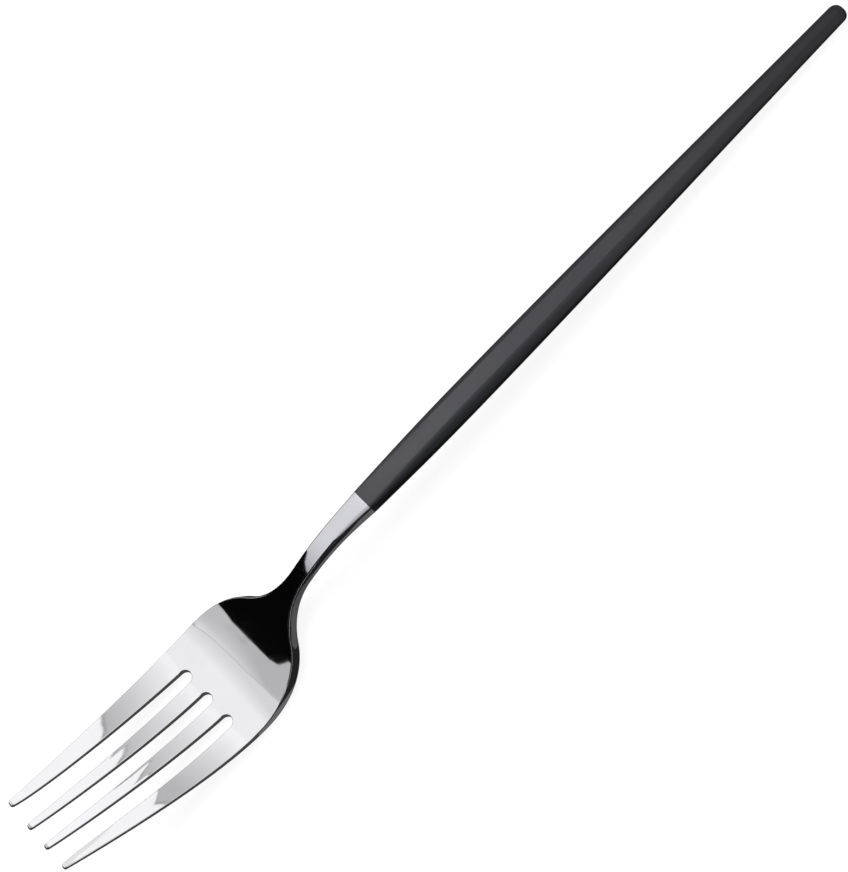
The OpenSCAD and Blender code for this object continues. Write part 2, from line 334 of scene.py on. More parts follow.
# The spine in side view, and the outline in plan
NECK_START = (NECK_START_SHARE * ROOT_D, 0)
NECK_BEND = (NECK_BEND_SHARE * ROOT_D, 0)
HEEL_BEND = (HEEL_BEND_SHARE * ROOT_D, -BOWL_DROP)
THROAT = mix_points(NECK_BEND, HEEL_BEND, THROAT_SHARE)
HEEL = (HEEL_D, -BOWL_DROP)
TINE_BEND = (mix(HEEL_D, TIP_D, TINE_BEND_SHARE), -BOWL_DROP)
TIP = (TIP_D, TIP_LIFT - BOWL_DROP)
NECK_SIDE = (NECK_SIDE_SHARE * ROOT_D, NECK_W / 2)
NARROW = (NARROW_D, NECK_W / 2)
FLARE_BEND = (FLARE_BEND_SHARE * ROOT_D, NECK_W / 2)
SHOULDER_BEND = (SHOULDER_BEND_SHARE * ROOT_D, HEAD_HALF)
FLARE = mix_points(FLARE_BEND, SHOULDER_BEND, FLARE_SHARE)
WIDEST = (HEEL_D, HEAD_HALF)
SIDE_BEND = (mix(HEEL_D, TIP_D, SIDE_BEND_SHARE), HEAD_HALF)


def spine_z(d):
    if d < NECK_START[0]:
        return 0
    if d < THROAT[0]:
        return bend(NECK_START, NECK_BEND, THROAT, d)
    if d < HEEL_D:
        return bend(THROAT, HEEL_BEND, HEEL, d)
    return bend(HEEL, TINE_BEND, TIP, d)


def spine_slope(d):
    a = max(0, d - TIP_ROUND / 2)
    b = min(TIP_D, d + TIP_ROUND / 2)
    return 0 if d <= 0 else (spine_z(b) - spine_z(a)) / (b - a)


def half_w(d):
    if d < NARROW_D:
        return bend((0, JOINT_W / 2), NECK_SIDE, NARROW, d)
    if d < FLARE[0]:
        return bend(NARROW, FLARE_BEND, FLARE, d)
    if d < HEEL_D:
        return bend(FLARE, SHOULDER_BEND, WIDEST, d)
    return bend(WIDEST, SIDE_BEND, (TIP_D, TIP_SPAN / 2), d)


def thick(d):
    if d < NARROW_D:
        return ease(JOINT_T, NECK_T, d / NARROW_D)
    if d < ROOT_D:
        return ease(NECK_T, ROOT_T, (d / ROOT_D - SHOULDER_SHARE) / (1 - SHOULDER_SHARE))
    return mix(ROOT_T, TIP_T, (d - ROOT_D) / TINE_LEN)


def neck_dip(d):
    """How far the polishing wheel has hollowed the top of the throat."""
    past = d - DIP_START
    deep = ease(0, DIP, past / DIP_LEN)
    return deep * ease(1, 0, (past - DIP_LEN) / (DIP_RUN_OUT * DIP_LEN))


def edge_round(d):
    if d < CRISP_D:
        return ease(JOINT_R, NECK_R, d / CRISP_D)
    return ease(NECK_R, EDGE_R, (d / ROOT_D - SOFT_SHARE) / (CRISP_SHARE - SOFT_SHARE))


def edge_arc(d):
    return ease(FULL_ARC, EDGE_ARC, d / CRISP_D)


def dish_at(d, y):
    """How far the bowl's surface stands above the spine at y across it."""
    bowl = ease(0, DISH, (d / ROOT_D - DISH_START_SHARE) / (DISH_FULL_SHARE - DISH_START_SHARE))
    splay = TIP_SPLAY * clamp01((d - ROOT_D) / TINE_LEN)
    return (bowl + splay) * (y / half_w(d)) ** 2


def tine_w(root_w, d):
    return mix(TIP_W, root_w, clamp01((TIP_D - d) / TINE_LEN) ** TAPER_SHARE)


# The fork lies on the heel of its bowl and the end of its handle, tilted by an angle that is
# tried at each of these steps along the head
UNDER_END = (HANDLE_LEN - END_R, -END_T / 2)
HEEL_STEPS = 400


def tilt_from(d):
    rise = UNDER_END[1] - (spine_z(d) - thick(d) / 2)
    return math.atan2(rise, UNDER_END[0] + d)


REST_TILT = max(tilt_from(ROOT_D * i / HEEL_STEPS) for i in range(HEEL_STEPS + 1))
REST_TURN = Matrix.Rotation(REST_TILT, 4, "Y")


# The CAD box gives the place: its middle is at the origin, and its floor at nothing
handle_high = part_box("handle")[1]
END_FACE = END_T / 2 * (1 - END_R / (END_W / 2))
END_AT_REST = REST_TURN @ Vector((HANDLE_LEN, 0, END_FACE))
UNDER_AT_REST = REST_TURN @ Vector((UNDER_END[0], 0, UNDER_END[1]))
TO_ROW = Matrix.Translation((handle_high.x / MM - END_AT_REST.x, 0, -UNDER_AT_REST.z)) @ REST_TURN

# Where the neck's painted shade is full from, and where the greyer tips, also painted shade, begin,
# in metres along the row
NECK_SHADE_X = (TO_ROW @ Vector((-NARROW_D - NECK_SHADE_PAST, 0, 0))).x * MM
TIP_GREY_X = cad_low.x + GREY_TIP * MM


def row_point(x, y, z):
    """A point of the fork, in millimetres along its handle, put at rest in metres."""
    return (TO_ROW @ Vector((x, y, z))) * MM


def head_point(d, y, h):
    """A point h from the middle of the plate's thickness, square to the spine."""
    m = spine_slope(d)
    n = 1 / math.sqrt(1 + m * m)
    lift = h + dish_at(d, y)
    return row_point(-d + m * n * lift, y, spine_z(d) + n * lift)


# Mesh helpers
def mesh_object(name, points, faces):
    mesh = bpy.data.meshes.new(name)
    mesh.from_pydata(points, [], faces)
    mesh.validate()
    made = bpy.data.objects.new(name, mesh)
    bpy.context.collection.objects.link(made)
    return made


def loft(rings, points, faces, caps=(True, True)):
    """Joins closed rings of points into a skin, with a cap at either end if asked."""
    start = len(points)
    count = len(rings[0])
    for ring in rings:
        points.extend(ring)
    for i in range(len(rings) - 1):
        a = start + i * count
        b = a + count
        for j in range(count):
            k = (j + 1) % count
            faces.append((a + j, b + j, b + k, a + k))
    if caps[0]:
        faces.append(tuple(start + j for j in range(count)))
    if caps[1]:
        last = start + (len(rings) - 1) * count
        faces.append(tuple(last + j for j in reversed(range(count))))


def slot(side, d):
    """Middle and half width of slot 1, 2 or 3 at d, past its root. The far one is slot 1."""
    inner_c = mix(SLOT_PITCH / 2, TIP_PITCH / 2, clamp01((d - ROOT_D) / TINE_LEN))
    inner_half = tine_w(INNER_TINE_W, d) / 2
    if side == 2:
        return 0, inner_c - inner_half
    inner_side = inner_c + inner_half
    outer_side = half_w(d) - tine_w(OUTER_TINE_W, d)
    return (2 - side) * (inner_side + outer_side) / 2, (outer_side - inner_side) / 2


def edge_columns(d, wall, facing, angle, radius, arc=EDGE_ARC):
    """Columns of an edge that curves from its wall up to a crisp line along the flat, as
    (d, y, depth).

    The metal lies towards facing in y, and angle turns it towards the handle, as it has to
    turn round the root of a slot."""
    steps = [arc * i / EDGE_STEPS for i in range(EDGE_STEPS + 1)]
    insets = [(radius * (1 - math.cos(a)), radius * (math.sin(arc) - math.sin(a))) for a in steps]
    return [
        (d - inset * math.cos(angle), wall + facing * inset * math.sin(angle), depth)
        for inset, depth in insets
    ]


def flat_columns(a, b, crown):
    """Columns over a flat from a to b, both included, raised by crown in the middle."""
    shares = [i / FLAT_STEPS for i in range(FLAT_STEPS + 1)]
    return [(mix(a[0], b[0], s), mix(a[1], b[1], s), -4 * crown * s * (1 - s)) for s in shares]


def ring_of(columns, size=1):
    """A closed ring over the head and back under it. Size draws it in to its own middle."""
    middle = (columns[0][1] + columns[-1][1]) / 2
    top = []
    under = []
    for d, y, depth in columns:
        h = (thick(d) / 2 - depth) * size
        top.append(head_point(d, mix(middle, y, size), h - neck_dip(d)))
        under.append(head_point(d, mix(middle, y, size), -h))
    return top + under[::-1]


EDGE_INSET = EDGE_R * (1 - math.cos(EDGE_ARC))
ROOT_ROW_D = ROOT_D - EDGE_INSET
ROOT_FLAT = half_w(ROOT_ROW_D) - EDGE_INSET
SPLIT_AT_ROOT = slot(1, ROOT_D)[0]


def plate_ring(d):
    """One ring round the plate behind the slots. Its columns run on into the four tines."""
    w = half_w(d)
    radius = edge_round(d)
    arc = edge_arc(d)
    flat_half = w - radius * (1 - math.cos(arc))
    split = SPLIT_AT_ROOT * flat_half / ROOT_FLAT
    sides = [flat_half, split, 0, -split, -flat_half]
    columns = edge_columns(d, w, -1, math.pi / 2, radius, arc)
    for k in range(4):
        columns += flat_columns((d, sides[k]), (d, sides[k + 1]), 0)[1:]
    columns += edge_columns(d, -w, 1, math.pi / 2, radius, arc)[-2::-1]
    return ring_of(columns)


def tine_side(side, facing, d, angle):
    """Columns of one of the five sides that bound the tines: slots 1 to 3 or the edges."""
    if side in (0, 4):
        edge_d = d - EDGE_INSET * math.cos(angle)
        return edge_columns(edge_d, -facing * half_w(edge_d), facing, math.pi / 2, EDGE_R)
    middle, gap = slot(side, d)
    return edge_columns(d, middle + facing * gap * math.sin(angle), facing, angle, EDGE_R)


def tine_ring(k, d, angle, size):
    """One ring round tine k. The angle goes from nothing at the root of a slot to a right
    angle where its straight sides begin."""
    far = tine_side(k, -1, d, angle)
    near = tine_side(k + 1, 1, d, angle)
    crown = ease(0, TINE_CROWN, min(d - ROOT_D, TIP_D - d) / CROWN_LEN)
    return ring_of(far + flat_columns(far[-1], near[-1], crown)[1:-1] + near[::-1], size)


def tine_rings(k):
    arc = [math.pi / 2 * i / ROOT_STEPS for i in range(ROOT_STEPS + 1)]
    end = TIP_D - TIP_LOSS
    shares = [i / TINE_STEPS for i in range(1, TINE_STEPS + 1)]
    straight = [mix(ROOT_D + ROOT_R, end - TIP_ROUND, share) for share in shares]
    round_end = [math.pi / 2 * i / TIP_STEPS for i in range(1, TIP_STEPS + 1)]
    rings = [tine_ring(k, ROOT_D + ROOT_R * (1 - math.cos(a)), a, 1) for a in arc]
    rings += [tine_ring(k, d, math.pi / 2, 1) for d in straight]
    for a in round_end:
        d = end - TIP_ROUND * (1 - math.sin(a))
        rings.append(tine_ring(k, d, math.pi / 2, mix(TIP_SIZE_SHARE, 1, math.cos(a))))
    return rings


def tang_rings(joint_ring):
    """Rings along the tang, each point of the neck's end drawn in to the tang's square bar."""
    to_fork = TO_ROW.inverted()
    places = [to_fork @ (p / MM) for p in joint_ring]

    def ring(x, cut):
        share = x / TANG_LEN
        w = mix(TANG_W, TANG_END_W, share) / 2 - cut
        t = mix(TANG_T, TANG_END_T, share) / 2
        points = []
        for p in places:
            scale = min(w / max(abs(p.y), TINY), t / max(abs(p.z), TINY))
            points.append(row_point(x, p.y * scale, p.z * scale))
        return points

    rings = [ring(0, 0)]
    for i in range(NOTCHES, 0, -1):
        middle = TANG_LEN - i * NOTCH_PITCH
        a = middle - NOTCH_LEN / 2
        b = middle + NOTCH_LEN / 2
        rings += [ring(a, 0), ring(a, NOTCH_DEPTH), ring(b, NOTCH_DEPTH), ring(b, 0)]
    return rings + [ring(TANG_LEN, 0)]


def closed_mesh(made):
    """Joins the edges that meet, turns every face outwards and shades the curves smooth."""
    work = bmesh.new()
    work.from_mesh(made.data)
    bmesh.ops.remove_doubles(work, verts=work.verts, dist=WELD)
    bmesh.ops.dissolve_degenerate(work, edges=work.edges, dist=WELD)
    bmesh.ops.recalc_face_normals(work, faces=work.faces)
    work.to_mesh(made.data)
    work.free()
    made.data.polygons.foreach_set("use_smooth", [True] * len(made.data.polygons))
    made.data.set_sharp_from_angle(angle=SHARP_ANGLE)
    return made


def make_head(finish):
    points = []
    faces = []
    for k in range(4):
        loft(tine_rings(k), points, faces, caps=(False, True))
    plate = [plate_ring(ROOT_ROW_D * (1 - i / PLATE_STEPS)) for i in range(PLATE_STEPS + 1)]
    loft(plate + tang_rings(plate[-1]), points, faces, caps=(False, True))
    head = closed_mesh(mesh_object("steel_head", points, faces))
    head.data.materials.append(finish)
    return head


# Nodes
def srgb(code):
    """Turns a hex colour as seen on a screen into the linear colour that a node takes."""
    parts = [int(code[i:i + 2], 16) / 255 for i in (1, 3, 5)]
    return [c / 12.92 if c <= 0.04045 else ((c + 0.055) / 1.055) ** 2.4 for c in parts] + [1]


def add(tree, kind, inputs, **settings):
    """Adds a node with its settings and links. An input is a value, another node's socket,
    or a sum that is added first, written as its operation and then its terms."""
    made = tree.nodes.new(kind)
    for name, value in settings.items():
        setattr(made, name, value)
    for key, source in inputs.items():
        if isinstance(source, tuple) and isinstance(source[0], str):
            terms = dict(enumerate(source[1:]))
            source = add(tree, "ShaderNodeMath", terms, operation=source[0]).outputs[0]
        if isinstance(source, bpy.types.NodeSocket):
            tree.links.new(source, made.inputs[key])
        else:
            made.inputs[key].default_value = source
    return made


def new_material(name):
    made = bpy.data.materials.new(name)
    made.use_nodes = True
    made.node_tree.nodes.clear()
    return made, made.node_tree


def polished_steel():
    """18/10 stainless steel, forged and buffed to a mirror. It shows the studio sharply, with
    the faint haze and the hairlines along the fork that a mop and long use leave."""
    made, tree = new_material("buffed_stainless_steel")
    place = add(tree, "ShaderNodeTexCoord", {}).outputs["Object"]
    along = add(tree, "ShaderNodeMapping", {
        "Vector": place, "Scale": (1 / HAIR_LEN, 1 / HAIR_W, 1 / HAIR_W)})
    hair = add(tree, "ShaderNodeTexNoise", {"Vector": along.outputs[0], "Scale": 1, "Detail": 2})
    haze = add(tree, "ShaderNodeTexNoise", {"Vector": place, "Scale": 1 / HAZE, "Detail": 3})
    tone = add(tree, "ShaderNodeMix", {
        "Factor": haze.outputs["Fac"], "A": srgb("#DFDEDD"), "B": srgb("#E6E6E6")},
        data_type="RGBA")
    # Painted shade: the neck's tone is darker, so that it shows the studio a little duller
    along_x = add(tree, "ShaderNodeSeparateXYZ", {0: place}).outputs["X"]
    neck = add(tree, "ShaderNodeMapRange", {
        "Value": along_x, "From Min": NECK_SHADE_X - NECK_SHADE_EASE * MM, "From Max": NECK_SHADE_X,
        "To Min": 0, "To Max": 1})
    tone = add(tree, "ShaderNodeMix", {
        "Factor": neck.outputs[0], "A": tone.outputs["Result"], "B": srgb("#C9C9CB")},
        data_type="RGBA")
    # Painted shade: the last of each tip is greyer, which darkens its reflection
    tip = add(tree, "ShaderNodeMapRange", {
        "Value": along_x, "From Min": TIP_GREY_X, "From Max": TIP_GREY_X - GREY_EASE * MM,
        "To Min": 0, "To Max": 1})
    tone = add(tree, "ShaderNodeMix", {
        "Factor": tip.outputs[0], "A": tone.outputs["Result"], "B": srgb("#B2B2B4")},
        data_type="RGBA")
    gloss = add(tree, "ShaderNodeMapRange", {
        "Value": ("ADD", haze.outputs["Fac"], ("MULTIPLY", hair.outputs["Fac"], 0.4)),
        "From Min": 0.4, "From Max": 1.0, "To Min": 0.02, "To Max": 0.06})
    brushed = add(tree, "ShaderNodeMapRange", {
        "Value": along_x, "From Min": NECK_SHADE_X + BRUSH_START * MM,
        "From Max": NECK_SHADE_X + BRUSH_FULL * MM, "To Min": 0, "To Max": 0.05})
    rough = add(tree, "ShaderNodeMath", {
        0: gloss.outputs[0], 1: brushed.outputs[0]}, operation="ADD")
    bump = add(tree, "ShaderNodeBump", {
        "Height": hair.outputs["Fac"], "Strength": 0.02, "Distance": 0.02 * MM})
    skin = add(tree, "ShaderNodeBsdfPrincipled", {
        "Base Color": tone.outputs["Result"], "Metallic": 1, "Roughness": rough.outputs[0],
        "Normal": bump.outputs[0]})
    add(tree, "ShaderNodeOutputMaterial", {"Surface": skin.outputs[0]})
    return made


def satin_resin():
    """Acetal resin, moulded in a fine spark-eroded tool and tumbled: a deep black that a soft
    sheen greys where it faces the light, with a close grain."""
    made, tree = new_material("moulded_black_acetal")
    place = add(tree, "ShaderNodeTexCoord", {}).outputs["Object"]
    grain = add(tree, "ShaderNodeTexNoise", {"Vector": place, "Scale": 1 / GRAIN, "Detail": 2})
    rub = add(tree, "ShaderNodeTexNoise", {"Vector": place, "Scale": 1 / RUB, "Detail": 3})
    tone = add(tree, "ShaderNodeMix", {
        "Factor": rub.outputs["Fac"], "A": srgb("#19191C"), "B": srgb("#1E1E22")},
        data_type="RGBA")
    gloss = add(tree, "ShaderNodeMapRange", {
        "Value": ("ADD", rub.outputs["Fac"], ("MULTIPLY", grain.outputs["Fac"], 0.5)),
        "From Min": 0.4, "From Max": 1.1, "To Min": 0.46, "To Max": 0.58})
    bump = add(tree, "ShaderNodeBump", {
        "Height": grain.outputs["Fac"], "Strength": 0.15, "Distance": 0.02 * MM})
    skin = add(tree, "ShaderNodeBsdfPrincipled", {
        "Base Color": tone.outputs["Result"], "Roughness": gloss.outputs[0], "IOR": 1.48,
        "Normal": bump.outputs[0]})
    add(tree, "ShaderNodeOutputMaterial", {"Surface": skin.outputs[0]})
    return made


def cured_epoxy():
    """Two-part epoxy, squeezed thin round the tang: amber and glossy, with small trapped
    bubbles. It is inside the handle and never seen while the fork is whole."""
    made, tree = new_material("cured_amber_epoxy")
    place = add(tree, "ShaderNodeTexCoord", {}).outputs["Object"]
    bubbles = add(tree, "ShaderNodeTexVoronoi", {"Vector": place, "Scale": 1 / BUBBLE})
    tone = add(tree, "ShaderNodeMix", {
        "Factor": bubbles.outputs["Distance"], "A": srgb("#D9B070"), "B": srgb("#C08A3C")},
        data_type="RGBA")
    bump = add(tree, "ShaderNodeBump", {
        "Height": bubbles.outputs["Distance"], "Strength": 0.3, "Distance": 0.05 * MM})
    skin = add(tree, "ShaderNodeBsdfPrincipled", {
        "Base Color": tone.outputs["Result"], "Roughness": 0.18, "IOR": 1.55,
        "Normal": bump.outputs[0]})
    add(tree, "ShaderNodeOutputMaterial", {"Surface": skin.outputs[0]})
    return made


# The handle, whose every section follows one rule along its length
def handle_tree(finish):
    """A tree that winds a grid round the handle: rows go along it and columns round it."""
    tree = bpy.data.node_groups.new("turned_handle", "GeometryNodeTree")
    sizes = {
        "Length": HANDLE_LEN, "Belly place": BELLY_X, "Bow": HANDLE_BOW,
        "Joint width": JOINT_W, "Joint thickness": JOINT_T, "Joint rounding": JOINT_R,
        "Belly width": HANDLE_W, "Belly thickness": HANDLE_T, "Belly rounding": HANDLE_R,
        "End width": END_W, "End thickness": END_T, "End rounding": END_T * WALL_SHARE,
        "End radius": END_R, "Seam radius": SEAM_R, "Crown": GRIP_CROWN,
    }
    for name in sizes:
        tree.interface.new_socket(name, in_out="INPUT", socket_type="NodeSocketFloat")
    tree.interface.new_socket("Handle", in_out="OUTPUT", socket_type="NodeSocketGeometry")
    size = add(tree, "NodeGroupInput", {}).outputs

    grid = add(tree, "GeometryNodeMeshGrid", {
        "Size X": 1, "Size Y": 1, "Vertices X": GRIP_STEPS + 1, "Vertices Y": ROUND_STEPS + 1})
    position = add(tree, "GeometryNodeInputPosition", {}).outputs[0]
    spot = add(tree, "ShaderNodeSeparateXYZ", {0: position})
    row = ("MULTIPLY", ("ADD", spot.outputs["X"], 0.5), math.pi)
    half_length = ("MULTIPLY", size["Length"], 0.5)
    x = add(tree, "ShaderNodeMath", {
        0: half_length, 1: ("SUBTRACT", 1, ("COSINE", row))}, operation="MULTIPLY").outputs[0]

    swell = add(tree, "ShaderNodeMath", {
        0: ("MULTIPLY", ("MINIMUM", ("DIVIDE", x, size["Belly place"]), 1), math.pi / 2)},
        operation="SINE").outputs[0]
    past = ("MAXIMUM", 0, ("SUBTRACT", x, size["Belly place"]))
    thinning = add(tree, "ShaderNodeMath", {
        0: past, 1: ("SUBTRACT", size["Length"], size["Belly place"])},
        operation="DIVIDE").outputs[0]
    taper = add(tree, "ShaderNodeMath", {
        0: ("MULTIPLY", thinning, thinning), 1: ("SUBTRACT", 2, thinning)},
        operation="MULTIPLY").outputs[0]

    def along(what):
        """The size that runs from the joint to the belly and on to the end."""
        at_joint, at_belly, at_end = (size[f"{part} {what}"] for part in ("Joint", "Belly", "End"))
        grown = ("MULTIPLY_ADD", ("SUBTRACT", at_belly, at_joint), swell, at_joint)
        return ("MULTIPLY_ADD", ("SUBTRACT", at_end, at_belly), taper, grown)

    def rounded(reach, radius):
        """How far a quarter circle draws the skin in, where reach is what is left to the end."""
        share = ("SUBTRACT", 1, ("MINIMUM", ("DIVIDE", reach, radius), 1))
        rest = ("MAXIMUM", 0, ("SUBTRACT", 1, ("MULTIPLY", share, share)))
        return ("MULTIPLY", radius, ("SUBTRACT", 1, ("SQRT", rest)))

    inset = add(tree, "ShaderNodeMath", {
        0: rounded(("SUBTRACT", size["Length"], x), size["End radius"]),
        1: rounded(x, size["Seam radius"])}, operation="ADD").outputs[0]
    full_w = add(tree, "ShaderNodeMath", {
        0: along("width"), 1: 0.5}, operation="MULTIPLY").outputs[0]
    full_t = add(tree, "ShaderNodeMath", {
        0: along("thickness"), 1: 0.5}, operation="MULTIPLY").outputs[0]
    # The first row and the last one close the handle's two ends
    open_row = add(tree, "ShaderNodeMath", {
        0: ("ABSOLUTE", spot.outputs["X"]), 1: 0.5 - 0.5 / GRIP_STEPS},
        operation="LESS_THAN").outputs[0]
    w = add(tree, "ShaderNodeMath", {
        0: ("SUBTRACT", full_w, inset), 1: open_row}, operation="MULTIPLY").outputs[0]
    t = add(tree, "ShaderNodeMath", {
        0: ("SUBTRACT", full_t, ("MULTIPLY", inset, ("DIVIDE", full_t, full_w))), 1: open_row},
        operation="MULTIPLY").outputs[0]
    r = add(tree, "ShaderNodeMath", {
        0: along("rounding"), 1: ("MULTIPLY", 2 * WALL_SHARE, ("MINIMUM", w, t))},
        operation="MINIMUM").outputs[0]

    # The section has a quarter circle at each corner, and a straight side where a sign changes
    turn = add(tree, "ShaderNodeMath", {
        0: spot.outputs["Y"], 1: 2 * math.pi, 2: math.pi / ROUND_STEPS},
        operation="MULTIPLY_ADD").outputs[0]
    side = ("MULTIPLY", ("SIGN", ("COSINE", turn)), ("SUBTRACT", w, r))
    y = ("ADD", side, ("MULTIPLY", r, ("COSINE", turn)))
    flat = ("MULTIPLY", ("SIGN", ("SINE", turn)), ("SUBTRACT", t, r))
    z = ("ADD", flat, ("MULTIPLY", r, ("SINE", turn)))
    # Top and underside stand highest in their middle, so the section is nearly an oval
    across = ("DIVIDE", y, full_w)
    fall = ("MULTIPLY", ("MULTIPLY", across, across), ("MULTIPLY", size["Crown"], swell))
    z = ("MULTIPLY", z, ("SUBTRACT", 1, fall))
    share = ("DIVIDE", x, size["Length"])
    arch = ("MULTIPLY", ("MULTIPLY", 4, size["Bow"]), ("MULTIPLY", share, ("SUBTRACT", 1, share)))
    wound = add(tree, "ShaderNodeCombineXYZ", {"X": x, "Y": y, "Z": ("ADD", z, arch)})
    skin = add(tree, "GeometryNodeSetPosition", {
        "Geometry": grid.outputs["Mesh"], "Position": wound.outputs[0]})
    closed = add(tree, "GeometryNodeMergeByDistance", {
        "Geometry": skin.outputs[0], "Distance": GRIP_WELD})
    at_rest = add(tree, "GeometryNodeTransform", {
        "Geometry": closed.outputs[0], "Translation": TO_ROW.to_translation() * MM,
        "Rotation": (0, REST_TILT, 0), "Scale": (MM, MM, MM)})
    real = add(tree, "GeometryNodeRealizeInstances", {"Geometry": at_rest.outputs[0]})
    dressed = add(tree, "GeometryNodeSetMaterial", {
        "Geometry": real.outputs[0], "Material": finish})
    add(tree, "NodeGroupOutput", {0: dressed.outputs[0]})
    return tree, sizes


def make_handle(finish):
    tree, sizes = handle_tree(finish)
    carrier = mesh_object("handle_carrier", [], [])
    winding = carrier.modifiers.new("winding", "NODES")
    winding.node_group = tree
    for socket in tree.interface.items_tree:
        if socket.in_out == "INPUT":
            winding[socket.identifier] = float(sizes[socket.name])
    evaluated = carrier.evaluated_get(bpy.context.evaluated_depsgraph_get())
    mesh = bpy.data.meshes.new_from_object(evaluated)
    carrier.modifiers.remove(winding)
    bpy.data.objects.remove(carrier)
    handle = bpy.data.objects.new("black_handle", mesh)
    bpy.context.collection.objects.link(handle)
    return closed_mesh(handle)


# The studio
def pale_board():
    """Painted board. It shows white to the camera and in the steel, and keeps the soft shadow
    that the fork casts."""
    made, tree = new_material("painted_board")
    path = add(tree, "ShaderNodeLightPath", {}).outputs
    paint = add(tree, "ShaderNodeBsdfDiffuse", {"Color": srgb("#707070")})
    glow = add(tree, "ShaderNodeEmission", {
        "Color": srgb("#FFFFFF"), "Strength": ("MULTIPLY", path["Is Camera Ray"], FLOOR_GLOW)})
    lit = add(tree, "ShaderNodeAddShader", {0: paint.outputs[0], 1: glow.outputs[0]})
    white = add(tree, "ShaderNodeEmission", {"Color": srgb("#FFFFFF"), "Strength": 1})
    mirrored = ("MAXIMUM", path["Is Glossy Ray"], path["Is Transmission Ray"])
    both = add(tree, "ShaderNodeMixShader", {0: mirrored, 1: lit.outputs[0], 2: white.outputs[0]})
    add(tree, "ShaderNodeOutputMaterial", {"Surface": both.outputs[0]})
    return made


def card_paint(name, near, far, start, end, axis="X"):
    """A card's light, from near to far as its own x or y goes from start to end."""
    made, tree = new_material(name)
    place = add(tree, "ShaderNodeTexCoord", {}).outputs["Object"]
    at = add(tree, "ShaderNodeSeparateXYZ", {0: place}).outputs[axis]
    light = add(tree, "ShaderNodeMapRange", {
        "Value": at, "From Min": start * MM, "From Max": end * MM, "To Min": near, "To Max": far})
    glow = add(tree, "ShaderNodeEmission", {"Color": srgb("#FCFCFF"), "Strength": light.outputs[0]})
    add(tree, "ShaderNodeOutputMaterial", {"Surface": glow.outputs[0]})
    return made


def stand_card(name, corners, paint):
    """A card out of the camera's sight, which only the polished steel and the sheen show."""
    card = mesh_object(name, [Vector(p) * MM for p in corners], [tuple(range(len(corners)))])
    card.data.materials.append(paint)
    card.visible_camera = False
    card.visible_diffuse = False
    card.visible_shadow = False


def over_fork(outline, drop=0):
    """Corners of a level card over the whole fork."""
    return [(x, y, CARD_HEIGHT - drop) for x, y in outline]


def level(low_x, high_x, low_y, high_y, z):
    """Corners of a level card."""
    return [(low_x, low_y, z), (high_x, low_y, z), (high_x, high_y, z), (low_x, high_y, z)]


def upright(a, b, low_z, high_z):
    """Corners of a card that stands over the line from a to b."""
    return [(*a, low_z), (*b, low_z), (*b, high_z), (*a, high_z)]


def seam(edge):
    """Outline of a narrow card along an edge."""
    return edge + [(x - SEAM_W, y) for x, y in edge[::-1]]


def beside(x, edge):
    """Outline of a card from the line at x to an edge."""
    return [(x, CARD_START)] + edge + [(x, CARD_REACH)]


def wall_foot(d):
    """Where the near wall mirrors the floor at d from the joint, as x and y. The ray that the
    camera sees falls as steeply as the camera stands high."""
    wall = head_point(d, -half_w(d), 0) / MM
    rise = half_w(d + SLOPE_STEP) - half_w(max(0, d - SLOPE_STEP))
    turn = 2 * math.atan(rise / (2 * SLOPE_STEP))
    at_shoulder = ease(1, SHOULDER_STRETCH, (d - STRETCH_D) / STRETCH_LEN)
    at_joint = ease(JOINT_STRETCH, 0, d / STRETCH_LEN)
    away = (at_shoulder + at_joint) * wall.z / math.tan(math.radians(VIEW_ELEVATION))
    return wall.x + away * math.sin(turn), wall.y - away * math.cos(turn)


